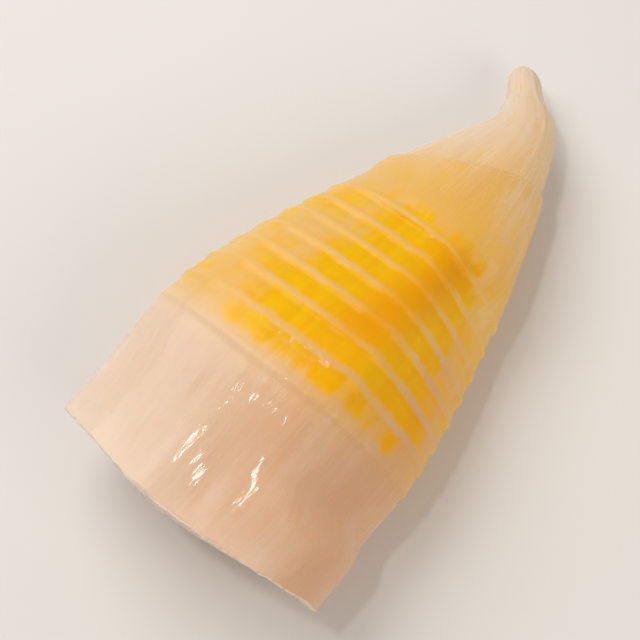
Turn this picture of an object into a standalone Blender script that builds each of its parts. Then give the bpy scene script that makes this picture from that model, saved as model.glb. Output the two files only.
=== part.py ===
"""A boiled, peeled bamboo shoot that lies on its side, as one closed solid.

The shoot points along +X, from its cut, hollow mouth to its bent tip, and rests on the plane z = 0. Rings of
points are laid round a centreline: along the outside from the mouth to the tip, then over the cut rim and down
the chamber inside the mouth to the wall of flesh that closes it. Lengths are in metres and angles in radians.
An angle round a ring starts at +Y and turns through +Z.
"""

import math

import bmesh
import bpy
import numpy as np

MM = 0.001

# The whole shoot
LENGTH = 101 * MM           # along the centreline, from the middle of the mouth to the tip
HALF_WIDTH = 25.6 * MM      # of the skirt, the smooth lowest stretch
SHOULDER = 0.185            # share of the length where the taper starts
TAPER = 1.6                 # power of the taper: 1 is a straight cone, more is rounder
CONE_END = 0.96             # share of the length where the taper alone would come to a point
ORIGIN_SHIFT = -47.3 * MM   # puts the middle of the length over the origin

# Its height, as a share of its width: the open mouth is pressed flatter than the body
MOUTH_ASPECT = 0.60
BODY_ASPECT = 0.71
TIP_ASPECT = 0.92
TIP_ROUNDING = (0.55, 0.95)  # stations where the section grows rounder again
PINCH = 0.4                 # how far the mouth's outline is a pointed lens instead of an ellipse
PINCH_LENGTH = 0.30         # share of the length over which the mouth's shape fades

# The broad faces that packing has pressed into the shoot: direction, distance as a share of the outline's own
# reach that way, and the stations where each starts, is full, fades, and ends. The first lies on top and the
# second slopes down to -Y.
FACES = (
    (math.radians(86), 0.80, (-0.20, -0.10, 0.48, 0.80)),
    (math.radians(136), 0.77, (-0.02, 0.15, 0.50, 0.78)),
)
FACE_SHARPNESS = 12

# The belly and the tip
SINK = 1.2 * MM             # how much of the underside is flattened by the weight
FLOOR_BLEND = 0.5 * MM
TIP_RISE = 5.4 * MM
RISE_START = 0.45
NOSE_RADIUS = 3.8 * MM
NOSE_TAPER = 0.35           # share of its radius that the nose loses by its end
NOSE_START = 0.83
NOSE_GROWTH = (0.60, 0.85)  # stations over which the nose takes over from the cone
BLUNT_START = 0.965         # where the tip rounds off
BEND = math.radians(40)     # the tip turns this far to the side, towards +Y
BEND_STRETCH = (0.78, 0.94)

# Nodes: pale rings with short yellow internodes between them
FIRST_NODE = 23.2 * MM
INTERNODES = 7
FIRST_PITCH = 4.60 * MM
PITCH_RATIO = 0.998
RIDGE_HEIGHT = 0.28 * MM
RIDGE_HALF_WIDTH = 0.70 * MM
GROOVE_DEPTH = 0.16 * MM
GROOVE_OFFSET = 1.1 * MM
NODE_WANDER = 0.45 * MM     # how far a node ring strays from a flat ring
WANDER_GROWTH = (0.08, 0.21)
WANDER_FADE = (0.85, 1.0)

# Tender sheaths wrapped round the tip. Each rises gently from its start to its slanting margin and ends there in a
# step: start, margin, slant of the margin, the side where it reaches furthest, and the step.
SHEATHS = (
    (0.60, 0.718, 0.060, math.radians(195), 0.70 * MM),
    (0.80, 0.900, 0.018, math.radians(40), 0.50 * MM),
)
SHEATH_STEP = 0.35 * MM     # length over which a margin steps down

# The mouth
WALL = 4.4 * MM
WALL_GROWTH = 1.2 * MM      # how much thicker the wall is at the bottom of the chamber
CHAMBER_DEPTH = 18.5 * MM
DISH_DEPTH = 2.2 * MM
RIM_ROUNDING = 0.7 * MM
RIM_LEAN = 3.8 * MM         # how far the upper lip stands out past the middle of the mouth
RIM_WAVES = ((2, 0.45 * MM, 0.6), (3, 0.30 * MM, 2.1), (5, 0.16 * MM, 4.0))
RIM_REACH = 0.20            # share of the length over which the shape of the cut dies out

# Soft lengthwise folds in the skirt: count round the shoot, height, and phase
FOLDS = ((5, 0.26 * MM, 0.8), (8, 0.14 * MM, 2.4))
FOLD_FADE = (0.04, 0.30)

SIDES = 56

SKIRT_COLOUR = (0.76, 0.50, 0.31)
BAND_COLOUR = (0.90, 0.43, 0.02)
NODE_COLOUR = (0.82, 0.60, 0.40)
TIP_COLOUR = (0.84, 0.64, 0.42)


def smoothstep(start, end, value):
    t = np.clip((value - start) / (end - start), 0.0, 1.0)
    return t * t * (3 - 2 * t)


def mix(first, second, share):
    return first + (second - first) * share


# ---- the outline along the shoot ----

def body_width(u):
    """Half the width at station u, but for the rounded end: level skirt, rounded taper, and nose."""
    t = np.clip((u - SHOULDER) / (CONE_END - SHOULDER), 0.0, 1.0)
    cone = HALF_WIDTH * (1 - t ** TAPER)
    beyond = np.clip((u - NOSE_START) / (1 - NOSE_START), 0.0, 1.0)
    nose = NOSE_RADIUS * (1 - NOSE_TAPER * beyond ** 1.5) * smoothstep(*NOSE_GROWTH, u)
    return np.cbrt(cone ** 3 + nose ** 3)


def blunting(u):
    """Share of the width that is left where the tip rounds off."""
    return np.sqrt(1 - np.clip((u - BLUNT_START) / (1 - BLUNT_START), 0.0, 1.0) ** 2)


def aspect(u):
    body = mix(MOUTH_ASPECT, BODY_ASPECT, smoothstep(0, PINCH_LENGTH, u))
    return mix(body, TIP_ASPECT, smoothstep(*TIP_ROUNDING, u))


def centre_height(u):
    """The centreline hangs half a height over the floor, sinks in by the belly, and rises to the tip."""
    return body_width(u) * aspect(u) - SINK + TIP_RISE * smoothstep(RISE_START, 1.0, u)


def centreline(u):
    """Points of the centreline, with a tangent, a sideways and an upward direction at each."""
    fine = np.linspace(0, 1, 801)
    turn = BEND * smoothstep(*BEND_STRETCH, fine)
    step = LENGTH / (len(fine) - 1)
    x = np.concatenate(([0.0], np.cumsum(np.cos(turn[1:]) * step))) + ORIGIN_SHIFT
    y = np.concatenate(([0.0], np.cumsum(np.sin(turn[1:]) * step)))
    line = np.stack((x, y, centre_height(fine)), axis=1)
    tangents = np.gradient(line, axis=0)
    points = np.stack([np.interp(u, fine, line[:, i]) for i in range(3)], axis=-1)
    along = np.stack([np.interp(u, fine, tangents[:, i]) for i in range(3)], axis=-1)
    along /= np.linalg.norm(along, axis=-1, keepdims=True)
    side = np.cross((0.0, 0.0, 1.0), along)
    side /= np.linalg.norm(side, axis=-1, keepdims=True)
    return points, along, side, np.cross(along, side)


# ---- the outline round the shoot ----

def ellipse_radius(a, b, angle):
    return 1 / np.sqrt((np.cos(angle) / a) ** 2 + (np.sin(angle) / b) ** 2)


def lens_radius(a, b, angle):
    """A lens between two parabolas, pointed at both sides."""
    rise = np.abs(np.sin(angle))
    bend = np.maximum(b * np.cos(angle) ** 2 / a ** 2, 1e-6)
    return (np.sqrt(rise ** 2 + 4 * b * bend) - rise) / (2 * bend)


def face_strength(stretch, u):
    start, full, fading, end = stretch
    return smoothstep(start, full, u) * (1 - smoothstep(fading, end, u))


def section_radius(u, angle):
    """The smooth outline: an ellipse, pinched to a lens at the mouth, with soft pressed faces."""
    a = body_width(u)
    b = a * aspect(u)
    pinch = PINCH * (1 - smoothstep(0, PINCH_LENGTH, u))
    radius = mix(ellipse_radius(a, b, angle), lens_radius(a, b, angle), pinch)
    inverse = radius ** -FACE_SHARPNESS
    for direction, distance, stretch in FACES:
        facing = np.maximum(np.cos(angle - direction), 0.0)
        strength = np.maximum(face_strength(stretch, u), 1e-3)
        reach = np.hypot(a * math.cos(direction), b * math.sin(direction))
        inverse = inverse + (facing * strength / (reach * distance)) ** FACE_SHARPNESS
    return inverse ** (-1 / FACE_SHARPNESS) * blunting(u)


# ---- relief ----

def node_stations():
    """Distances of the pale node rings from the mouth: the internodes shorten towards the tip."""
    found = [FIRST_NODE]
    for k in range(INTERNODES):
        found.append(found[-1] + FIRST_PITCH * PITCH_RATIO ** k)
    return found


def node_relief(distance):
    """A low ridge at each node, with a shallow groove on its mouth side."""
    height = 0.0
    for node in node_stations():
        ridge = np.exp(-((distance - node) / RIDGE_HALF_WIDTH) ** 2)
        groove = np.exp(-((distance - node + GROOVE_OFFSET) / RIDGE_HALF_WIDTH) ** 2)
        height = height + RIDGE_HEIGHT * ridge - GROOVE_DEPTH * groove
    return height


def sheath_relief(station):
    """Each tender sheath ends in a margin, past which the next one inside it shows."""
    height = 0.0
    for start, margin, _, _, step in SHEATHS:
        past = np.clip((station - margin) * LENGTH / SHEATH_STEP, 0.0, 1.0)
        height = height + step * smoothstep(start, margin, station) * (1 - past)
    return height


def slant(station, angle):
    """How far a ring near the tip slants, so that the rings run along the sheaths' margins."""
    lean = 0.0
    ends = [margin for _, margin, _, _, _ in SHEATHS[1:]] + [1.0]
    for (start, margin, tilt, furthest, _), end in zip(SHEATHS, ends):
        near = smoothstep(start, margin, station) * (1 - smoothstep(margin, end, station))
        lean = lean + tilt * near * np.cos(angle - furthest)
    return lean


def skirt_relief(u, angle):
    """Soft lengthwise folds in the skirt."""
    folds = sum(height * np.cos(count * angle + phase) for count, height, phase in FOLDS)
    return folds * (1 - smoothstep(*FOLD_FADE, u))


def node_wander(u, angle):
    """Shift of a ring along the shoot, so that the nodes aren't flat rings."""
    sway = np.cos(angle + 1.1 + 5 * u) + 0.5 * np.cos(2 * angle + 2.0 - 7 * u)
    return NODE_WANDER * sway * smoothstep(*WANDER_GROWTH, u) * (1 - smoothstep(*WANDER_FADE, u))


def rim_shift(angle):
    """The uneven, leaning cut across the mouth."""
    waves = sum(size * np.cos(count * angle + phase) for count, size, phase in RIM_WAVES)
    return waves - RIM_LEAN * np.sin(angle)


# ---- rings ----

def ring_angles():
    return np.arange(SIDES) * 2 * math.pi / SIDES


def lay_ring(u, radius, shift):
    """Points round the centreline, each at its own station u, moved by shift along it."""
    angle = ring_angles()
    point, along, side, up = centreline(u)
    out = np.cos(angle)[:, None] * side + np.sin(angle)[:, None] * up
    return point + out * radius[:, None] + along * shift[:, None]


def outer_ring(station):
    angle = ring_angles()
    u = np.minimum(station + slant(station, angle), 1.0)
    relief = node_relief(station * LENGTH) + sheath_relief(station) + skirt_relief(u, angle)
    cut = rim_shift(angle) * (1 - smoothstep(0, RIM_REACH, u))
    radius = section_radius(u, angle) + relief * blunting(u)
    return lay_ring(u, radius, node_wander(u, angle) + cut)


def inner_ring(depth, inset, shrink=1.0):
    """A ring of the mouth or the chamber: inset is how far inside the smooth outline, shrink closes the end."""
    angle = ring_angles()
    u = np.full(SIDES, depth / LENGTH)
    cut = rim_shift(angle) * (1 - smoothstep(0, RIM_REACH, u)) * shrink
    return lay_ring(u, (section_radius(u, angle) - inset) * shrink, cut)


def outer_stations():
    """Stations from the mouth to the tip, close together at the nodes and on the sheaths."""
    nodes = node_stations()
    skirt = list(np.linspace(1.6 * MM, FIRST_NODE - 2.4 * MM, 10))
    rings = []
    for node, after in zip(nodes, nodes[1:]):
        rings += [node - GROOVE_OFFSET, node, node + GROOVE_OFFSET * 0.8]
        rings.append((node + after) / 2)
    rings += [nodes[-1] - GROOVE_OFFSET, nodes[-1], nodes[-1] + GROOVE_OFFSET * 0.8]
    start = nodes[-1] + 2.6 * MM
    for _, margin, _, _, _ in SHEATHS:
        end = margin * LENGTH
        rings += list(np.linspace(start, end, 7))
        start = end + SHEATH_STEP
    rings += list(np.linspace(start, LENGTH * BLUNT_START, 5))
    blunt = [mix(BLUNT_START, 1.0, share) * LENGTH for share in (0.4, 0.7, 0.92)]
    return [distance / LENGTH for distance in skirt + rings + blunt]


def chamber_rings():
    """Rings from the rim's outer edge over the cut and down the chamber to the dish that closes it."""
    r = RIM_ROUNDING
    rings = [inner_ring(0.35 * r, 0.12 * r), inner_ring(0, r), inner_ring(0, WALL - r)]
    rings += [inner_ring(0.3 * r, WALL - 0.3 * r), inner_ring(1.2 * r, WALL)]
    for share in (0.2, 0.4, 0.6, 0.78, 0.9):
        rings.append(inner_ring(CHAMBER_DEPTH * share, WALL + WALL_GROWTH * share))
    end_inset = WALL + WALL_GROWTH
    for shrink in (0.93, 0.80, 0.55, 0.28):
        depth = CHAMBER_DEPTH + DISH_DEPTH * (1 - shrink ** 2)
        rings.append(inner_ring(depth, end_inset, shrink))
    return rings


def settle(points):
    """Presses the underside flat: what would be under the floor lies on it, with a soft edge."""
    z = points[:, 2]
    eased = (z + FLOOR_BLEND) ** 2 / (4 * FLOOR_BLEND)
    points[:, 2] = np.where(z < -FLOOR_BLEND, 0.0, np.where(z < FLOOR_BLEND, eased, z))
    return points


# ---- the object ----

def add_cap(bm, ring, pole, flip):
    for i, vertex in enumerate(ring):
        after = ring[(i + 1) % len(ring)]
        bm.faces.new((after, vertex, pole) if flip else (vertex, after, pole))


def zone(u):
    """Which material a stretch has: 0 skirt, 1 yellow internode, 2 pale node, 3 tip."""
    distance = u * LENGTH
    nodes = node_stations()
    if distance < nodes[0]:
        return 0
    if distance > nodes[-1] + FIRST_PITCH:
        return 3
    return 2 if min(abs(distance - node) for node in nodes) < GROOVE_OFFSET * 0.7 else 1


def build_mesh():
    stations = outer_stations()
    outside = [outer_ring(u) for u in stations]
    rings = list(reversed(chamber_rings())) + outside
    first_outside = len(rings) - len(outside)
    bm = bmesh.new()
    loops = [[bm.verts.new(p) for p in settle(ring)] for ring in rings]
    for index, (lower, upper) in enumerate(zip(loops, loops[1:])):
        place = index - first_outside
        material = zone((stations[place] + stations[place + 1]) / 2) if place >= 0 else 0
        for i in range(SIDES):
            j = (i + 1) % SIDES
            face = bm.faces.new((lower[i], lower[j], upper[j], upper[i]))
            face.material_index = material
    dish = inner_ring(CHAMBER_DEPTH + DISH_DEPTH, 0.0, 0.0)[0]
    add_cap(bm, loops[0], bm.verts.new(dish), flip=True)
    tip = bm.verts.new(centreline(np.ones(1))[0][0])
    add_cap(bm, loops[-1], tip, flip=False)
    for face in tip.link_faces:
        face.material_index = 3
    bmesh.ops.recalc_face_normals(bm, faces=bm.faces)
    mesh = bpy.data.meshes.new("shoot")
    bm.to_mesh(mesh)
    bm.free()
    return mesh


def flesh(name, colour, roughness):
    material = bpy.data.materials.new(name)
    material.use_nodes = True
    shader = material.node_tree.nodes["Principled BSDF"]
    shader.inputs["Base Color"].default_value = (*colour, 1.0)
    shader.inputs["Roughness"].default_value = roughness
    shader.inputs["Metallic"].default_value = 0.0
    return material


def clear_scene():
    for item in list(bpy.data.objects):
        bpy.data.objects.remove(item, do_unlink=True)


def main():
    clear_scene()
    mesh = build_mesh()
    mesh.materials.append(flesh("skirt flesh", SKIRT_COLOUR, 0.35))
    mesh.materials.append(flesh("internode flesh", BAND_COLOUR, 0.32))
    mesh.materials.append(flesh("node flesh", NODE_COLOUR, 0.35))
    mesh.materials.append(flesh("tender sheath", TIP_COLOUR, 0.38))
    mesh.shade_smooth()
    mesh.set_sharp_from_angle(angle=math.radians(55))
    shoot = bpy.data.objects.new("shoot", mesh)
    bpy.context.scene.collection.objects.link(shoot)


main()
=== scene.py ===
"""The looks of a boiled, peeled bamboo shoot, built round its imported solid.

The shoot is one piece: a fine surface laid in rings round the same centreline as the solid, with its
nodes, sheath margins, fibres and ragged mouth as real relief. A station is a share of the length, from 0 at
the mouth to 1 at the tip. Lengths are in metres and angles in radians. An angle round a ring starts at +Y
and turns through +Z.
"""

import math

import bpy
import numpy as np
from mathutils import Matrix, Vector, noise


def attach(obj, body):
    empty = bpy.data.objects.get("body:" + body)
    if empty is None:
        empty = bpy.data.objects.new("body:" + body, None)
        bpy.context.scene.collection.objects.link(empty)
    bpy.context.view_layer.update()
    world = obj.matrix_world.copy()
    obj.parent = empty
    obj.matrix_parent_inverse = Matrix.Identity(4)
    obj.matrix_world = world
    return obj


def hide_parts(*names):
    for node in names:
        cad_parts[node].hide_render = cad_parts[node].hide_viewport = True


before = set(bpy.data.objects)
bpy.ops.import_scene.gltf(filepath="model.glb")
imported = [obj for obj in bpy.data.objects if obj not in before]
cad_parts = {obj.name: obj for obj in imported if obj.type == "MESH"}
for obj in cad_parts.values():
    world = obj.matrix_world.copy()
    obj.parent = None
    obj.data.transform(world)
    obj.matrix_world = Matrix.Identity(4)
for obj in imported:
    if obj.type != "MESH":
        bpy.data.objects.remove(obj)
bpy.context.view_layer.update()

MM = 0.001

# ---- driving dimensions, the same as the solid's ----

LENGTH = 101 * MM           # along the centreline, from the middle of the mouth to the tip
HALF_WIDTH = 25.6 * MM      # of the skirt, the smooth lowest stretch
SHOULDER = 0.185            # share of the length where the taper starts
TAPER = 1.6                 # power of the taper: 1 is a straight cone, more is rounder
CONE_END = 0.96             # share of the length where the taper alone would come to a point
ORIGIN_SHIFT = -47.3 * MM   # puts the middle of the length over the origin

# Its height, as a share of its width: the open mouth is pressed flatter than the body
MOUTH_ASPECT = 0.60
BODY_ASPECT = 0.71
TIP_ASPECT = 0.92
TIP_ROUNDING = (0.55, 0.95)  # stations where the section grows rounder again
PINCH = 0.4                 # how far the mouth's outline is a pointed lens instead of an ellipse
PINCH_LENGTH = 0.30         # share of the length over which the mouth's shape fades

# The broad faces that packing has pressed into the shoot: direction, distance as a share of the outline's
# own reach that way, and the stations where each starts, is full, fades, and ends. The first lies on top
# and the second slopes down to -Y.
FACES = (
    (math.radians(86), 0.80, (-0.20, -0.10, 0.48, 0.80)),
    (math.radians(136), 0.77, (-0.02, 0.15, 0.50, 0.78)),
)
FACE_SHARPNESS = 12

# The belly and the tip
SINK = 1.2 * MM             # how much of the underside is flattened by the weight
FLOOR_BLEND = 0.5 * MM
TIP_RISE = 5.4 * MM
RISE_START = 0.45
NOSE_RADIUS = 3.8 * MM
NOSE_TAPER = 0.35           # share of its radius that the nose loses by its end
NOSE_POWER = 1.5
NOSE_START = 0.83
NOSE_GROWTH = (0.60, 0.85)  # stations over which the nose takes over from the cone
BLUNT_START = 0.965         # where the tip rounds off
BEND = math.radians(40)     # the tip turns this far to the side, towards +Y
BEND_STRETCH = (0.78, 0.94)

# Nodes: pale rings with short yellow internodes between them
FIRST_NODE = 23.2 * MM
INTERNODES = 7
FIRST_PITCH = 4.60 * MM
PITCH_RATIO = 0.998
RIDGE_HEIGHT = 0.28 * MM
RIDGE_HALF_WIDTH = 0.70 * MM
GROOVE_DEPTH = 0.16 * MM
GROOVE_OFFSET = 1.1 * MM
NODE_WANDER = 0.45 * MM     # how far a node ring strays from a flat ring
WANDER_WAVES = ((1, 1.0, 1.1, 5), (2, 0.5, 2.0, -7))  # count round the shoot, share, phase, and twist
WANDER_GROWTH = (0.08, 0.21)
WANDER_FADE = (0.85, 1.0)

# Tender sheaths wrapped round the tip. Each rises gently from its start to its slanting margin and ends
# there in a step: start, margin, slant of the margin, the side where it reaches furthest, and the step.
SHEATHS = (
    (0.60, 0.718, 0.060, math.radians(195), 0.70 * MM),
    (0.80, 0.900, 0.018, math.radians(40), 0.50 * MM),
)
SHEATH_STEP = 0.35 * MM     # length over which a margin steps down

# The mouth
WALL = 4.4 * MM
WALL_GROWTH = 1.2 * MM      # how much thicker the wall is at the bottom of the chamber
CHAMBER_DEPTH = 18.5 * MM
DISH_DEPTH = 2.2 * MM
RIM_ROUNDING = 0.7 * MM
OUTER_EDGE = 0.5            # depth of the rim's rounded edges, as a share of their rounding
INNER_EDGE = 1.2
RIM_LEAN = 3.8 * MM         # how far the upper lip stands out past the middle of the mouth
RIM_WAVES = ((2, 0.45 * MM, 0.6), (3, 0.30 * MM, 2.1), (5, 0.16 * MM, 4.0))
RIM_REACH = 0.20            # share of the length over which the shape of the cut dies out

# Soft lengthwise folds in the skirt: count round the shoot, height, and phase
FOLDS = ((5, 0.26 * MM, 0.8), (8, 0.14 * MM, 2.4))
FOLD_FADE = (0.04, 0.30)

# ---- the fine surface ----

CENTRELINE_POINTS = 801
SIDES = 240
FIRST_RING = 0.50 * MM      # from the rim to the first ring outside it
SKIRT_STEP = 0.50 * MM      # between rings on the skirt
BAND_STEP = 0.25 * MM       # between rings on the internodes
BAND_LEAD = 2.0 * MM        # how far those rings start ahead of the first node
BAND_TRAIL = 1.5 * MM       # and how far they run on past the last
TIP_STEP = 0.28 * MM        # between rings on the sheaths
MARGIN_RINGS = 5            # down the step at a sheath's margin
END_RINGS = 12              # over the blunt tip

# Rings inside the mouth: share of the way at the first and at the last, and how many
ROUNDING_RINGS = (0.15, 1.0, 5)  # over each rounded edge of the rim
CUT_RINGS = (0.15, 0.85, 6)      # across the cut between them
CHAMBER_RINGS = (0.06, 0.94, 26)
DISH_RINGS = (0.12, 0.97, 22)

GRAIN_RADIUS = 0.9 * HALF_WIDTH  # of the straight cylinder that the grain is laid on
FIBRE_LOBES = 34            # broad lengthwise fibres round the shoot
FIBRE_HEIGHT = 0.045 * MM
FIBRE_SQUEEZE = 0.10        # how much slower the fibres change along the shoot than round it
FIBRE_LAYERS = ((1.0, 1.0, 11.3), (2.3, 0.5, 4.7))  # layers of noise: scale, share and seed
PLEAT_GAIN = 1.5            # how much taller the fibres grow on the tender tip
PLEAT_GROWTH = (0.66, 0.80)
CHAMBER_GAIN = 1.6          # how much taller they are inside the chamber
CHAMBER_GRAIN = 300 * MM    # sets the chamber's grain apart from the outside's
MARGIN_FRAY = 0.30 * MM     # how far the thin margins of the sheaths wander
MARGIN_REACH = 1.8 * MM     # to each side of a margin, where the surface follows it
MARGIN_LAYERS = ((0.30, 1.0, 17.2), (0.9, 0.5, 23.6))
DENT_SIZE = 9 * MM          # the soft unevenness of the flesh
DENT_DEPTH = 0.16 * MM
DENT_SQUEEZE = 0.7
DENT_LAYERS = ((1.0, 1.0, 31.9),)
DENT_FADE = (0.6, 1.0)
RIM_FRAY = 0.35 * MM        # how far the torn fibres of the rim stand out or fall short
RIM_LAYERS = ((0.55, 0.7, 2.1), (1.3, 0.5, 8.4))
FRAY_FADE = (0, 0.03)
FRAY_LOSS = 0.6             # how much less frayed the rim's inner edge is

# ---- where the colours lie ----

# A stretch is the four stations, or the four directions, where something starts, is full, fades, and ends
YELLOW_STRETCH = (0.225, 0.255, 0.52, 0.61)
GOLDEN_STRETCH = (0.215, 0.265, 0.60, 0.76)  # the golden flesh under the yellow

# Painted light: the flesh is painted paler along its lit side
PAINTED_LIGHT_SHARE = 0.45
PAINTED_LIGHT_SIDE = math.radians(25)
PAINTED_LIGHT_FOCUS = 1.5            # how narrow the paler side is

# Painted shade, browner on the skirt and the first bands where they turn from the light: direction, half
# width, and how much
PAINTED_SHADE_SIDES = ((math.radians(112), math.radians(24), 0.34), (math.radians(168), math.radians(22), 0.64))
PAINTED_SHADE_FADE = (0.30, 0.52)

# The yellow lies in two patches across from each other, which narrow towards the tip. Each pair is for the
# stations where the yellow starts and where it ends.
PATCH_SIDE = (math.radians(109), math.radians(114))
PATCH_REACH = (math.radians(66), math.radians(38))
PATCH_EDGE = math.radians(13)
SEAM_YELLOW = 0.30          # how much yellow is left between the patches

# Sides where the flesh between the bands is paler and its lines wider, and where the first bands are weaker
PALER_SIDE_STRETCH = tuple(math.radians(side) for side in (138, 156, 225, 250))
PALER_SIDE_LOSS = 0.55             # how much of the golden flesh is missing there
LINE_GAIN = 0.08            # how much wider the pale lines are there, as a share of an internode
LATE_STRETCH = tuple(math.radians(side) for side in (118, 145, 200, 230))
LATE_FADE = (0.28, 0.34)
LATE_LOSS = 0.12

# Depths in the wall between which the look of the cut gives way to that of the chamber
CUT_FADE = (0.5 * WALL, 1.15 * WALL)

# Along the crease between the pressed faces the yellow is deeper and hides the pale lines: partly a riper
# yellow, partly painted shade where the surface turns onto the shaded face
RIPE_AND_SHADED_STRETCH = (0.28, 0.34, 0.53, 0.61)
RIPE_AND_SHADED_SIDES = (math.radians(104), math.radians(140))
RIPE_AND_SHADED_WIDTH = math.radians(19)


def smoothstep(start, end, value):
    t = np.clip((value - start) / (end - start), 0.0, 1.0)
    return t * t * (3 - 2 * t)


def mix(first, second, share):
    return first + (second - first) * share


def noise_over(points, seed):
    """Smooth noise in -1 to 1 at each point of an array of points."""
    flat = points.reshape(-1, 3) + seed
    found = [noise.noise(Vector(point)) for point in flat]
    return np.array(found).reshape(points.shape[:-1])


def layered_noise(points, layers):
    """Layers of smooth noise: each has a scale, a share and a seed."""
    return sum(share * noise_over(points * scale, seed) for scale, share, seed in layers)


# ---- the outline along the shoot ----

def body_width(u):
    """Half the width at station u, but for the rounded end: level skirt, rounded taper, and nose."""
    t = np.clip((u - SHOULDER) / (CONE_END - SHOULDER), 0.0, 1.0)
    cone = HALF_WIDTH * (1 - t ** TAPER)
    beyond = np.clip((u - NOSE_START) / (1 - NOSE_START), 0.0, 1.0)
    nose = NOSE_RADIUS * (1 - NOSE_TAPER * beyond ** NOSE_POWER) * smoothstep(*NOSE_GROWTH, u)
    return np.cbrt(cone ** 3 + nose ** 3)


def blunting(u):
    """Share of the width that is left where the tip rounds off."""
    return np.sqrt(1 - np.clip((u - BLUNT_START) / (1 - BLUNT_START), 0.0, 1.0) ** 2)


def aspect(u):
    """Height of the outline as a share of its width."""
    body = mix(MOUTH_ASPECT, BODY_ASPECT, smoothstep(0, PINCH_LENGTH, u))
    return mix(body, TIP_ASPECT, smoothstep(*TIP_ROUNDING, u))


def centre_height(u):
    """The centreline hangs half a height over the floor, sinks in by the belly, and rises to the tip."""
    return body_width(u) * aspect(u) - SINK + TIP_RISE * smoothstep(RISE_START, 1.0, u)


def centreline(u):
    """Points of the centreline, with a tangent, a sideways and an upward direction at each."""
    fine = np.linspace(0, 1, CENTRELINE_POINTS)
    turn = BEND * smoothstep(*BEND_STRETCH, fine)
    step = LENGTH / (len(fine) - 1)
    x = np.concatenate(([0.0], np.cumsum(np.cos(turn[1:]) * step))) + ORIGIN_SHIFT
    y = np.concatenate(([0.0], np.cumsum(np.sin(turn[1:]) * step)))
    line = np.stack((x, y, centre_height(fine)), axis=1)
    tangents = np.gradient(line, axis=0)
    points = np.stack([np.interp(u, fine, line[:, i]) for i in range(3)], axis=-1)
    along = np.stack([np.interp(u, fine, tangents[:, i]) for i in range(3)], axis=-1)
    along /= np.linalg.norm(along, axis=-1, keepdims=True)
    side = np.cross((0.0, 0.0, 1.0), along)
    side /= np.linalg.norm(side, axis=-1, keepdims=True)
    return points, along, side, np.cross(along, side)


# ---- the outline round the shoot ----

def ellipse_radius(a, b, angle):
    return 1 / np.sqrt((np.cos(angle) / a) ** 2 + (np.sin(angle) / b) ** 2)


def lens_radius(a, b, angle):
    """A lens between two parabolas, pointed at both sides."""
    rise = np.abs(np.sin(angle))
    bend = np.maximum(b * np.cos(angle) ** 2 / a ** 2, 1e-6)
    return (np.sqrt(rise ** 2 + 4 * b * bend) - rise) / (2 * bend)


def fullness(stretch, u):
    """How full something is that starts, is full, fades and ends at the four places of a stretch."""
    start, full, fading, end = stretch
    return smoothstep(start, full, u) * (1 - smoothstep(fading, end, u))


def section_radius(u, angle):
    """The smooth outline: an ellipse, pinched to a lens at the mouth, with soft pressed faces."""
    a = body_width(u)
    b = a * aspect(u)
    pinch = PINCH * (1 - smoothstep(0, PINCH_LENGTH, u))
    radius = mix(ellipse_radius(a, b, angle), lens_radius(a, b, angle), pinch)
    inverse = radius ** -FACE_SHARPNESS
    for direction, distance, stretch in FACES:
        facing = np.maximum(np.cos(angle - direction), 0.0)
        reach = np.hypot(a * math.cos(direction), b * math.sin(direction))
        inverse = inverse + (facing * fullness(stretch, u) / (reach * distance)) ** FACE_SHARPNESS
    return inverse ** (-1 / FACE_SHARPNESS) * blunting(u)


# ---- relief ----

def node_stations():
    """Distances of the pale node rings from the mouth: the internodes shorten towards the tip."""
    found = [FIRST_NODE]
    for k in range(INTERNODES):
        found.append(found[-1] + FIRST_PITCH * PITCH_RATIO ** k)
    return found


def node_relief(distance):
    """A low ridge at each node, with a shallow groove on its mouth side."""
    height = 0.0
    for node in node_stations():
        ridge = np.exp(-((distance - node) / RIDGE_HALF_WIDTH) ** 2)
        groove = np.exp(-((distance - node + GROOVE_OFFSET) / RIDGE_HALF_WIDTH) ** 2)
        height = height + RIDGE_HEIGHT * ridge - GROOVE_DEPTH * groove
    return height


def sheath_relief(station):
    """Each tender sheath ends in a margin, past which the next one inside it shows."""
    height = 0.0
    for start, margin, _tilt, _furthest, step in SHEATHS:
        past = np.clip((station - margin) * LENGTH / SHEATH_STEP, 0.0, 1.0)
        height = height + step * smoothstep(start, margin, station) * (1 - past)
    return height


def slant(station, angle):
    """How far a ring near the tip slants, so that the rings run along the sheaths' margins."""
    lean = 0.0
    ends = [margin for _, margin, _, _, _ in SHEATHS[1:]] + [1.0]
    for (start, margin, tilt, furthest, _), end in zip(SHEATHS, ends):
        near = smoothstep(start, margin, station) * (1 - smoothstep(margin, end, station))
        lean = lean + tilt * near * np.cos(angle - furthest)
    return lean


def skirt_relief(u, angle):
    """Soft lengthwise folds in the skirt."""
    folds = sum(height * np.cos(count * angle + phase) for count, height, phase in FOLDS)
    return folds * (1 - smoothstep(*FOLD_FADE, u))


def node_wander(u, angle):
    """Shift of a ring along the shoot, so that the nodes aren't flat rings."""
    sway = sum(share * np.cos(count * angle + phase + twist * u)
               for count, share, phase, twist in WANDER_WAVES)
    return NODE_WANDER * sway * smoothstep(*WANDER_GROWTH, u) * (1 - smoothstep(*WANDER_FADE, u))


def cut_shift(u, angle):
    """The uneven, leaning cut across the mouth, which the rings near it follow."""
    waves = sum(size * np.cos(count * angle + phase) for count, size, phase in RIM_WAVES)
    return (waves - RIM_LEAN * np.sin(angle)) * (1 - smoothstep(0, RIM_REACH, u))


def straightened(distance, angle):
    """The shoot as a straight cylinder, so that grain laid in these coordinates runs along it."""
    return np.stack((np.cos(angle) * GRAIN_RADIUS, np.sin(angle) * GRAIN_RADIUS, distance), axis=-1)


def round_grain(angle):
    """The same in millimetres, for what changes only round the shoot."""
    return straightened(np.zeros_like(angle), angle) / MM


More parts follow.
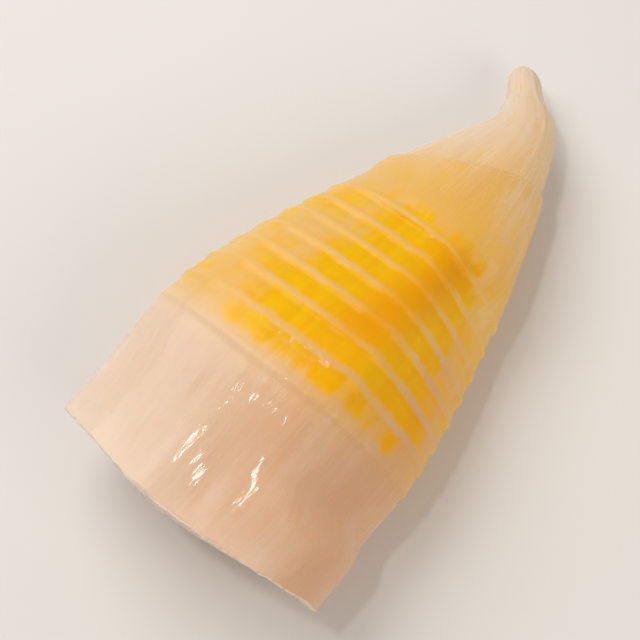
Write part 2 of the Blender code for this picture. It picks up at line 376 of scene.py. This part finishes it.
def fibre_relief(distance, angle):
    """Lengthwise fibres, which swell and fade along the shoot."""
    place = straightened(distance, angle) / (HALF_WIDTH * math.tau / FIBRE_LOBES)
    place[..., 2] *= FIBRE_SQUEEZE
    return FIBRE_HEIGHT * layered_noise(place, FIBRE_LAYERS)


def dents(distance, angle):
    """The soft unevenness of the flesh."""
    place = straightened(distance, angle) / DENT_SIZE
    place[..., 2] *= DENT_SQUEEZE
    return DENT_DEPTH * layered_noise(place, DENT_LAYERS)


def margin_fray(station, angle):
    """The slightly torn margins of the tender sheaths."""
    margins = (margin for _, margin, _, _, _ in SHEATHS)
    near = sum(np.exp(-((station - margin) * LENGTH / MARGIN_REACH) ** 2) for margin in margins)
    return MARGIN_FRAY * near * layered_noise(round_grain(angle), MARGIN_LAYERS)


def rim_fray(u, angle):
    """The torn fibres of the rim: short shifts, quick round the mouth."""
    return RIM_FRAY * layered_noise(round_grain(angle), RIM_LAYERS) * (1 - smoothstep(*FRAY_FADE, u))


# ---- the grid of points ----

def even_rings(start, end, step):
    """Distances at even steps from start up to, but without, end."""
    return np.linspace(start, end, max(2, round((end - start) / step)), endpoint=False)


def outer_stations():
    """Stations from the mouth to the tip, closest together where there is most relief."""
    band_start = FIRST_NODE - BAND_LEAD
    band_end = node_stations()[-1] + BAND_TRAIL
    rings = [even_rings(FIRST_RING, band_start, SKIRT_STEP)]
    rings.append(even_rings(band_start, band_end, BAND_STEP))
    start = band_end
    for _, margin, _, _, _ in SHEATHS:
        end = margin * LENGTH
        rings.append(even_rings(start, end, TIP_STEP))
        start = end + SHEATH_STEP
        rings.append(even_rings(end, start, SHEATH_STEP / MARGIN_RINGS))
    rings.append(even_rings(start, LENGTH * BLUNT_START, TIP_STEP))
    rounding = np.sin(np.linspace(0, 1, END_RINGS, endpoint=False) * math.pi / 2)
    rings.append(mix(BLUNT_START, 1.0, rounding) * LENGTH)
    return np.concatenate(rings) / LENGTH


def mouth_profile():
    """Depth, inset and shrink of each ring from the rim's outer edge over the cut and down to the dish."""
    r = RIM_ROUNDING
    turn = np.linspace(*ROUNDING_RINGS) * math.pi / 2
    rows = [(OUTER_EDGE * r * (1 - math.sin(t)), r * (1 - math.cos(t)), 1.0) for t in turn]
    rows += [(0.0, mix(r, WALL - r, share), 1.0) for share in np.linspace(*CUT_RINGS)]
    rows += [(INNER_EDGE * r * (1 - math.cos(t)), WALL - r * (1 - math.sin(t)), 1.0) for t in turn]
    for share in np.linspace(*CHAMBER_RINGS):
        rows.append((CHAMBER_DEPTH * share, WALL + WALL_GROWTH * share, 1.0))
    for shrink in np.cos(np.linspace(*DISH_RINGS) * math.pi / 2):
        depth = CHAMBER_DEPTH + DISH_DEPTH * (1 - shrink ** 2)
        rows.append((depth, WALL + WALL_GROWTH, shrink))
    return np.array(rows)


def lay(u, angle, radius, shift):
    """Points round the centreline, each moved along it by its own shift."""
    point, along, side, up = centreline(u)
    out = np.cos(angle)[..., None] * side + np.sin(angle)[..., None] * up
    return point + out * radius[..., None] + along * shift[..., None]


def ring_angles():
    return np.arange(SIDES) * math.tau / SIDES


def outer_points(station, angle):
    """The outside of the shoot with all of its relief."""
    distance = station * LENGTH
    u = np.minimum(station + slant(station, angle), 1.0)
    relief = node_relief(distance) + sheath_relief(station) + skirt_relief(u, angle)
    relief = relief + fibre_relief(distance, angle) * (1 + PLEAT_GAIN * smoothstep(*PLEAT_GROWTH, station))
    relief = relief + dents(distance, angle) * (1 - smoothstep(*DENT_FADE, u))
    radius = section_radius(u, angle) + relief * blunting(u)
    torn = rim_fray(u, angle) + margin_fray(station, angle)
    return lay(u, angle, radius, node_wander(u, angle) + cut_shift(u, angle) + torn)


def mouth_grid():
    """Depth, inset, shrink and angle of each point inside the rim, in rings from the dish outwards."""
    profile = mouth_profile()[::-1]
    _, angle = np.meshgrid(profile[:, 0], ring_angles(), indexing="ij")
    depth, inset, shrink = (column[:, None] * np.ones_like(angle) for column in profile.T)
    return depth, inset, shrink, angle


def inner_points(depth, inset, shrink, angle):
    """The rim, the wall of the chamber, and the dish at its end."""
    u = depth / LENGTH
    torn = rim_fray(u, angle) * (1 - FRAY_LOSS * smoothstep(0, WALL, inset))
    grain = CHAMBER_GAIN * fibre_relief(depth + CHAMBER_GRAIN, angle) * shrink
    radius = (section_radius(u, angle) - inset) * shrink + grain
    return lay(u, angle, radius, cut_shift(u, angle) * shrink + torn)


def settle(points):
    """Presses the underside flat: what would be under the floor lies on it, with a soft edge."""
    z = points[..., 2]
    eased = (z + FLOOR_BLEND) ** 2 / (4 * FLOOR_BLEND)
    points[..., 2] = np.where(z < -FLOOR_BLEND, 0.0, np.where(z < FLOOR_BLEND, eased, z))
    return points


def node_phase(distance):
    """Counts the nodes along the shoot: whole numbers fall on the pale rings."""
    shrinkage = 1 - (distance - FIRST_NODE) * (1 - PITCH_RATIO) / FIRST_PITCH
    return np.log(shrinkage) / math.log(PITCH_RATIO)


def painted_light(angle):
    """Painted light: how much paler the flesh is painted round the shoot, most along the lit side."""
    return np.maximum(np.cos(angle - PAINTED_LIGHT_SIDE), 0) ** PAINTED_LIGHT_FOCUS


def painted_shade_share(u, angle):
    """Painted shade: how much browner the flesh is painted where it turns from the light."""
    sides = sum(share * np.exp(-((angle - side) / width) ** 2) for side, width, share in PAINTED_SHADE_SIDES)
    return sides * (1 - smoothstep(*PAINTED_SHADE_FADE, u))


def along_stretch(stretch, u):
    """Share of the way from the start to the end of a stretch."""
    return np.clip((u - stretch[0]) / (stretch[-1] - stretch[0]), 0.0, 1.0)


def yellow_share(u, angle):
    """How yellow the internodes are."""
    along = along_stretch(YELLOW_STRETCH, u)
    double = 2 * (angle - mix(*PATCH_SIDE, along))
    away = np.abs(np.arctan2(np.sin(double), np.cos(double))) / 2
    reach = mix(*PATCH_REACH, along)
    seam = smoothstep(reach - PATCH_EDGE, reach + PATCH_EDGE, away)
    late = LATE_LOSS * fullness(LATE_STRETCH, angle) * (1 - smoothstep(*LATE_FADE, u))
    return fullness(YELLOW_STRETCH, u) * mix(1.0, SEAM_YELLOW, seam) * (1 - late)


def paler_side_share(angle):
    """The side where the flesh between the yellow bands is paler and its lines are wider."""
    return fullness(PALER_SIDE_STRETCH, angle)


def ripe_and_shaded_share(u, angle):
    """How deep the yellow is along the crease between the pressed faces: partly a riper yellow, partly
    painted shade.
    """
    crease = mix(*RIPE_AND_SHADED_SIDES, along_stretch(RIPE_AND_SHADED_STRETCH, u))
    return np.exp(-((angle - crease) / RIPE_AND_SHADED_WIDTH) ** 2) * fullness(RIPE_AND_SHADED_STRETCH, u)


# ---- the mesh ----

def grid_faces(rows):
    """Quads between neighbouring rings of points."""
    row, column = np.meshgrid(np.arange(rows - 1), np.arange(SIDES), indexing="ij")
    after = (column + 1) % SIDES
    near, far = row * SIDES, (row + 1) * SIDES
    corners = (near + column, near + after, far + after, far + column)
    return np.stack(corners, axis=-1).reshape(-1, 4).tolist()


def fan(ring_start, pole, flip):
    """Triangles from a ring to the point that closes it."""
    near = np.arange(SIDES) + ring_start
    after = (np.arange(SIDES) + 1) % SIDES + ring_start
    first, second = (after, near) if flip else (near, after)
    return [(int(a), int(b), pole) for a, b in zip(first, second)]


def closed_mesh(rings):
    """One closed skin over all the rings, from the middle of the dish to the end of the tip."""
    dish = rings[0].mean(axis=0)
    tip = centreline(np.ones(1))[0][0]
    vertices = np.concatenate((rings.reshape(-1, 3), [dish, tip]))
    count = len(rings) * SIDES
    faces = grid_faces(len(rings)) + fan(0, count, True) + fan(count - SIDES, count + 1, False)
    mesh = bpy.data.meshes.new("bamboo_shoot")
    mesh.from_pydata(vertices.tolist(), [], faces)
    mesh.shade_smooth()
    return mesh


def add_colour_values(mesh, distance, angle, u, inset, inside):
    """How much of each colour every point has."""
    outside = 1 - inside
    golden = fullness(GOLDEN_STRETCH, u) * (1 - PALER_SIDE_LOSS * paler_side_share(angle))
    add_value(mesh, "station", distance / LENGTH, (0.0, 1.0))
    add_value(mesh, "phase", node_phase(distance), (0.0, INTERNODES + 2.0))
    add_value(mesh, "yellow", yellow_share(u, angle) * outside)
    add_value(mesh, "golden", golden * outside)
    # Partly painted shade: the deeper yellow along the crease between the pressed faces
    add_value(mesh, "ripe_and_shaded", ripe_and_shaded_share(u, angle))
    add_value(mesh, "paler_side", paler_side_share(angle))
    # Painted light: the lit side is painted paler
    add_value(mesh, "painted_light", painted_light(angle))
    # Painted shade: the sides that turn from the light are painted browner
    add_value(mesh, "painted_shade", painted_shade_share(u, angle))
    add_value(mesh, "inside", inside, (1.0, 0.0))
    add_value(mesh, "cut", inside * (1 - smoothstep(*CUT_FADE, inset)))


def shoot_mesh():
    """The whole surface, with the values at each point that its colours and grain are made from."""
    depth, inset, shrink, inner_angle = mouth_grid()
    station, outer_angle = np.meshgrid(outer_stations(), ring_angles(), indexing="ij")
    inner = settle(inner_points(depth, inset, shrink, inner_angle))
    outer = settle(outer_points(station, outer_angle))
    mesh = closed_mesh(np.concatenate((inner, outer)))

    ones, zeros = np.ones_like(outer_angle), np.zeros_like(outer_angle)
    angle = np.concatenate((inner_angle, outer_angle))
    distance = np.concatenate((depth, station * LENGTH))
    u = np.concatenate((depth / LENGTH, station + slant(station, outer_angle)))
    inset = np.concatenate((inset, zeros))
    shrink = np.concatenate((shrink, ones))
    inside = np.concatenate((np.ones_like(inner_angle), zeros))
    add_colour_values(mesh, distance, angle, u, inset, inside)

    grain = straightened(distance, angle) / MM
    grain[..., :2] *= (shrink * (1 - inset / HALF_WIDTH))[..., None]
    add_vector(mesh, "grain", grain)
    return mesh


def add_value(mesh, name, values, ends=(0.0, 0.0)):
    """A value for each point of the rings, and for the two points that close them."""
    attribute = mesh.attributes.new(name, "FLOAT", "POINT")
    data = np.concatenate((values.ravel(), ends)).astype(np.float32)
    attribute.data.foreach_set("value", data)


def add_vector(mesh, name, values):
    """A vector for each point of the rings, and the end rings' means for the points that close them."""
    attribute = mesh.attributes.new(name, "FLOAT_VECTOR", "POINT")
    flat = values.reshape(-1, 3)
    first, last = flat[:SIDES].mean(axis=0), flat[-SIDES:].mean(axis=0)
    data = np.concatenate((flat, [first, last])).astype(np.float32)
    attribute.data.foreach_set("vector", data.ravel())


# ---- materials ----

def srgb(red, green, blue):
    """A display colour from 0 to 255 as the linear colour that the shader needs."""
    scaled = [value / 255 for value in (red, green, blue)]
    linear = [v / 12.92 if v <= 0.04045 else ((v + 0.055) / 1.055) ** 2.4 for v in scaled]
    return (*linear, 1.0)


class Graph:
    """Short ways to add and link the nodes of one material."""

    def __init__(self, name):
        self.material = bpy.data.materials.new(name)
        self.material.use_nodes = True
        self.tree = self.material.node_tree
        self.shader = self.tree.nodes["Principled BSDF"]

    def put(self, socket, value):
        if isinstance(value, bpy.types.NodeSocket):
            self.tree.links.new(value, socket)
        else:
            socket.default_value = value

    def node(self, kind, inputs=(), **settings):
        made = self.tree.nodes.new(kind)
        for name, value in settings.items():
            setattr(made, name, value)
        for key, value in dict(inputs).items():
            self.put(made.inputs[key], value)
        return made

    def value(self, name):
        return self.node("ShaderNodeAttribute", attribute_name=name).outputs["Fac"]

    def vector(self, name):
        return self.node("ShaderNodeAttribute", attribute_name=name).outputs["Vector"]

    def math(self, operation, first, second=0.0):
        return self.node("ShaderNodeMath", {0: first, 1: second}, operation=operation).outputs[0]

    def scaled(self, vector, factors):
        return self.node("ShaderNodeVectorMath", {0: vector, 1: factors}, operation="MULTIPLY").outputs[0]

    def noise(self, grain, fineness, detail=3.0, roughness=0.55):
        place = self.scaled(grain, fineness)
        settings = {"Vector": place, "Scale": 1.0, "Detail": detail, "Roughness": roughness}
        return self.node("ShaderNodeTexNoise", settings).outputs["Fac"]

    def range(self, value, low, high, to_low=0.0, to_high=1.0):
        settings = {"Value": value, "From Min": low, "From Max": high, "To Min": to_low, "To Max": to_high}
        return self.node("ShaderNodeMapRange", settings, interpolation_type="SMOOTHSTEP").outputs[0]

    def blend(self, share, first, second):
        made = self.node("ShaderNodeMix", data_type="RGBA")
        self.put(made.inputs[0], share)
        self.put(made.inputs[6], first)
        self.put(made.inputs[7], second)
        return made.outputs[2]

    def ramp(self, value, stops):
        made = self.node("ShaderNodeValToRGB", {"Fac": value})
        elements = made.color_ramp.elements
        while len(elements) < len(stops):
            elements.new(1.0)
        for element, (position, colour) in zip(elements, stops):
            element.position = position
            element.color = colour
        return made.outputs["Color"]

    def bump(self, height, distance):
        settings = {"Height": height, "Distance": distance, "Strength": 1.0}
        return self.node("ShaderNodeBump", settings).outputs["Normal"]


# The flesh along the shoot, from the rim to the tip
FLESH_STOPS = (
    (0.00, srgb(236, 208, 182)),
    (0.06, srgb(232, 196, 164)),
    (0.20, srgb(229, 187, 149)),
    (0.25, srgb(240, 194, 118)),
    (0.54, srgb(241, 192, 108)),
    (0.61, srgb(241, 188, 98)),
    (0.715, srgb(238, 189, 116)),
    (0.722, srgb(242, 198, 134)),
    (0.80, srgb(243, 206, 157)),
    (0.899, srgb(242, 209, 170)),
    (0.903, srgb(245, 216, 184)),
)
# Also painted light, where it makes the lit side paler
PALE_FLESH_AND_PAINTED_LIGHT = srgb(243, 225, 208)
# Also painted shade, where it makes the sides that turn from the light browner
PINK_FLESH_AND_PAINTED_SHADE = srgb(216, 164, 126)
YELLOW = srgb(253, 194, 2)
DEEP_YELLOW = srgb(248, 182, 0)
# A deeper, darker yellow: partly riper flesh, partly painted shade along the crease and on the shaded sides
RIPE_AND_SHADED_YELLOW = srgb(242, 165, 0)
GOLDEN_FLESH = srgb(240, 187, 86)
CHAMBER_FLESH = srgb(238, 208, 166)
CHAMBER_SHADE = srgb(222, 178, 130)
BUNDLE = srgb(202, 154, 104)
FLOOR = srgb(232, 228, 225)

# How fine each layer of noise is: turns of it per millimetre, twice across the shoot and once along it.
# The noise lies round 0.5, so the ranges that it is mapped from lie round there too.
CLOUDS = (0.11, 0.11, 0.07)
STREAKS = (1.8, 1.8, 0.05)
BAND_WARP = (0.25, 0.25, 0.12)
BAND_FIBRES = (1.7, 1.7, 0.16)
BLOTCHES = (0.24, 0.24, 0.16)
YELLOW_TONES = (0.30, 0.30, 0.10)
CHAMBER_STREAKS = (0.9, 0.9, 0.04)
BUNDLES = (1.0, 1.0, 0.05)
BUNDLE_SCALE = 1.5
FINE_FIBRES = (3.2, 3.2, 0.35)
PORES = (4.0, 4.0, 3.0)
FILM = (0.40, 0.40, 0.25)
WETNESS = (0.3, 0.3, 0.2)

# How much of each colour is blended in where it is strongest
PALE_CLOUD = 0.45
PINK_CLOUD = 0.34
VEINS = (0.13, 0.36)        # on the skirt and on the tip
VEIN_GROWTH = (0.62, 0.78)  # stations between the two
GOLDEN_SHARE = 0.74
RIPE_AND_SHADED_SHARE = 0.92           # of the pale lines that the deepest yellow hides along the crease, partly as painted shade
BUNDLE_SHARE = 0.55

# The yellow bands, as shares of an internode from one pale line to the next
BAND_START = (0.07, 0.23)
BAND_END = (0.98, 0.87)
BAND_SWAY = 0.06
BAND_RAGGEDNESS = 0.025
FIRST_BAND = (0.6, 1.4)     # nodes counted from the skirt, over which the yellow gains its full strength
FIRST_BAND_LOSS = 0.28
BLOTCH_SHARE = 0.26
BLOTCH_EDGE = (0.02, 0.78)

# The finest relief, and the wet film over it
FIBRE_BUMP = 0.10 * MM
PORE_SHARE = 0.35
FILM_BUMP = 0.13 * MM
ROUGHNESS = (0.36, 0.54)
FLOOR_ROUGHNESS = 0.75


def flesh_colour(g, grain, station):
    """Pinkish cream to golden flesh, mottled, with lengthwise streaks, with painted light making the lit
    side paler and painted shade making the sides that turn from the light browner.
    """
    base = g.ramp(station, FLESH_STOPS)
    cloud = g.noise(grain, CLOUDS, 4.0)
    base = g.blend(g.range(cloud, 0.50, 0.72, 0.0, PALE_CLOUD), base, PALE_FLESH_AND_PAINTED_LIGHT)
    base = g.blend(g.range(cloud, 0.48, 0.30, 0.0, PINK_CLOUD), base, PINK_FLESH_AND_PAINTED_SHADE)
    streak = g.noise(grain, STREAKS, 4.0, 0.6)
    vein = g.math("MULTIPLY", g.range(streak, 0.44, 0.62), g.range(station, *VEIN_GROWTH, *VEINS))
    base = g.blend(vein, base, PALE_FLESH_AND_PAINTED_LIGHT)
    # Painted light: the lit side of the flesh is painted paler
    base = g.blend(g.math("MULTIPLY", g.value("painted_light"), PAINTED_LIGHT_SHARE), base, PALE_FLESH_AND_PAINTED_LIGHT)
    base = g.blend(g.math("MULTIPLY", g.value("golden"), GOLDEN_SHARE), base, GOLDEN_FLESH)
    # Painted shade: browner where the flesh turns from the light
    return g.blend(g.value("painted_shade"), base, PINK_FLESH_AND_PAINTED_SHADE)


def band_shape(g, grain):
    """Where the yellow bands lie between the pale lines, with edges that the fibres make ragged."""
    warp = g.noise(grain, BAND_WARP, 2.0)
    phase = g.math("ADD", g.value("phase"), g.range(warp, 0.2, 0.8, -BAND_SWAY, BAND_SWAY))
    place = g.math("FRACT", phase)
    fibre = g.noise(grain, BAND_FIBRES, 3.0, 0.6)
    late = g.math("ADD", place, g.range(fibre, 0.3, 0.7, -BAND_RAGGEDNESS, BAND_RAGGEDNESS))
    late = g.math("SUBTRACT", late, g.math("MULTIPLY", g.value("paler_side"), LINE_GAIN))
    band = g.math("MULTIPLY", g.range(late, *BAND_START), g.range(place, *BAND_END))
    # Along the crease the pale lines are hidden, partly as painted shade
    return g.math("MAXIMUM", band, g.math("MULTIPLY", g.value("ripe_and_shaded"), RIPE_AND_SHADED_SHARE))


def band_share(g, grain):
    """How yellow a point is: full on the internodes, none on the pale lines, and blotched."""
    blotch = g.noise(grain, BLOTCHES, 2.0, 0.5)
    faded = g.range(g.value("phase"), *FIRST_BAND, FIRST_BAND_LOSS, 0.0)
    strength = g.math("SUBTRACT", g.value("yellow"), faded)
    patchy = g.math("ADD", strength, g.range(blotch, 0.3, 0.7, -BLOTCH_SHARE, BLOTCH_SHARE))
    return g.math("MULTIPLY", band_shape(g, grain), g.range(patchy, *BLOTCH_EDGE))


def yellow_colour(g, grain):
    """Yellow of two tones, deeper along the crease (a riper yellow with painted shade) and on the sides
    that turn from the light (painted shade).
    """
    tone = g.noise(grain, YELLOW_TONES, 2.0)
    yellow = g.blend(g.range(tone, 0.30, 0.70), DEEP_YELLOW, YELLOW)
    # Painted shade: darker yellow on the shaded sides, and along the crease a riper yellow with painted
    # shade
    return g.blend(g.math("MAXIMUM", g.value("ripe_and_shaded"), g.value("painted_shade")), yellow, RIPE_AND_SHADED_YELLOW)


def chamber_colour(g, grain):
    """The streaked chamber, and the cut across its wall with the dark ends of its fibre bundles."""
    streak = g.noise(grain, CHAMBER_STREAKS, 4.0, 0.6)
    chamber = g.blend(g.range(streak, 0.35, 0.65), CHAMBER_SHADE, CHAMBER_FLESH)
    cells = g.node("ShaderNodeTexVoronoi", {"Vector": g.scaled(grain, BUNDLES), "Scale": BUNDLE_SCALE})
    dark = g.range(cells.outputs["Distance"], 0.36, 0.14, 0.0, BUNDLE_SHARE)
    return g.blend(g.value("cut"), chamber, g.blend(dark, PALE_FLESH_AND_PAINTED_LIGHT, BUNDLE))


def add_relief(g, grain):
    """Fine fibres and pores in the flesh, and the wet film that lies over them more smoothly."""
    fine = g.noise(grain, FINE_FIBRES, 4.0, 0.65)
    pores = g.noise(grain, PORES, 2.0)
    height = g.math("ADD", fine, g.math("MULTIPLY", pores, PORE_SHARE))
    g.put(g.shader.inputs["Normal"], g.bump(height, FIBRE_BUMP))
    g.put(g.shader.inputs["Coat Normal"], g.bump(g.noise(grain, FILM, 2.0), FILM_BUMP))
    g.put(g.shader.inputs["Roughness"], g.range(g.noise(grain, WETNESS), 0.3, 0.7, *ROUGHNESS))


def flesh_material():
    g = Graph("boiled shoot flesh")
    grain = g.vector("grain")
    colour = flesh_colour(g, grain, g.value("station"))
    colour = g.blend(band_share(g, grain), colour, yellow_colour(g, grain))
    colour = g.blend(g.value("inside"), colour, chamber_colour(g, grain))
    g.put(g.shader.inputs["Base Color"], colour)
    add_relief(g, grain)

    finish = {
        "Subsurface Weight": 0.50,
        "Subsurface Radius": (1.0, 0.45, 0.18),
        "Subsurface Scale": 2.0 * MM,
        "IOR": 1.40,
        "Specular IOR Level": 0.06,
        "Coat Weight": 0.45,
        "Coat Roughness": 0.06,
        "Coat IOR": 1.33,
    }
    for name, value in finish.items():
        g.shader.inputs[name].default_value = value
    return g.material


def floor_material():
    g = Graph("pale floor")
    g.shader.inputs["Base Color"].default_value = FLOOR
    g.shader.inputs["Roughness"].default_value = FLOOR_ROUGHNESS
    return g.material


# ---- the studio ----

VIEW_AZIMUTH = math.radians(-50)
VIEW_ELEVATION = math.radians(69)
LENS = 100.0                # a telephoto view, in millimetres on a sensor 36 mm wide
SENSOR = 36.0
FRAME_SHARE = 0.86          # share of the picture's side that the shoot spans
FLOOR_REACH = 3.0
SKY = (1.0, 0.985, 0.965, 1.0)
SKY_STRENGTH = 0.34

# Soft round lamps: azimuth and elevation in degrees, distance, size in two directions, power, and colour
LAMPS = {
    "key": (172, 52, 0.60, (0.54, 0.42), 2.1, (1.0, 0.98, 0.95)),
    "fill": (-5, 36, 0.70, (0.45, 0.45), 1.38, (1.0, 0.90, 0.76)),
    "glint": (228, 74, 0.60, (0.060, 0.034), 0.36, (1.0, 1.0, 1.0)),
}


def direction(azimuth, elevation):
    """From the object outwards: azimuth 0 is -Y and 90 is +X."""
    level = math.cos(elevation)
    return Vector((math.sin(azimuth) * level, -math.cos(azimuth) * level, math.sin(elevation)))


def add_camera(mesh):
    """A camera that looks down at the middle of the shoot and holds the whole of it."""
    out = direction(VIEW_AZIMUTH, VIEW_ELEVATION)
    turn = (-out).to_track_quat("-Z", "Y")
    axes = np.array([turn @ Vector(axis) for axis in ((1, 0, 0), (0, 1, 0), (0, 0, 1))])
    points = np.array([vertex.co for vertex in mesh.vertices]) @ axes.T
    low, high = points.min(axis=0), points.max(axis=0)
    span = (high - low)[:2].max() / FRAME_SHARE
    data = bpy.data.cameras.new("camera")
    data.lens = LENS
    data.sensor_width = SENSOR
    camera = bpy.data.objects.new("camera", data)
    camera.location = Vector(axes.T @ ((low + high) / 2)) + out * (span * LENS / SENSOR)
    camera.rotation_euler = turn.to_euler()
    bpy.context.scene.collection.objects.link(camera)
    bpy.context.scene.camera = camera


def add_lamp(name, azimuth, elevation, distance, size, power, colour):
    """A soft lamp that faces the origin."""
    data = bpy.data.lights.new(name, "AREA")
    data.shape = "ELLIPSE"
    data.size, data.size_y = size
    data.energy = power
    data.color = colour
    lamp = bpy.data.objects.new(name, data)
    out = direction(math.radians(azimuth), math.radians(elevation))
    lamp.location = out * distance
    lamp.rotation_euler = (-out).to_track_quat("-Z", "Y").to_euler()
    bpy.context.scene.collection.objects.link(lamp)


def add_floor():
    mesh = bpy.data.meshes.new("floor")
    corners = [(x * FLOOR_REACH, y * FLOOR_REACH, 0) for x, y in ((-1, -1), (1, -1), (1, 1), (-1, 1))]
    mesh.from_pydata(corners, [], [(0, 1, 2, 3)])
    mesh.materials.append(floor_material())
    floor = bpy.data.objects.new("floor", mesh)
    bpy.context.scene.collection.objects.link(floor)


def add_studio():
    world = bpy.data.worlds.new("studio")
    world.use_nodes = True
    background = world.node_tree.nodes["Background"]
    background.inputs["Color"].default_value = SKY
    background.inputs["Strength"].default_value = SKY_STRENGTH
    bpy.context.scene.world = world
    bpy.context.scene.view_settings.view_transform = "Standard"
    for name, settings in LAMPS.items():
        add_lamp(name, *settings)


def main():
    add_studio()
    add_floor()
    mesh = shoot_mesh()
    mesh.materials.append(flesh_material())
    shoot = bpy.data.objects.new("bamboo_shoot", mesh)
    bpy.context.scene.collection.objects.link(shoot)
    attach(shoot, "root")
    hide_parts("shoot")
    add_camera(mesh)


main()
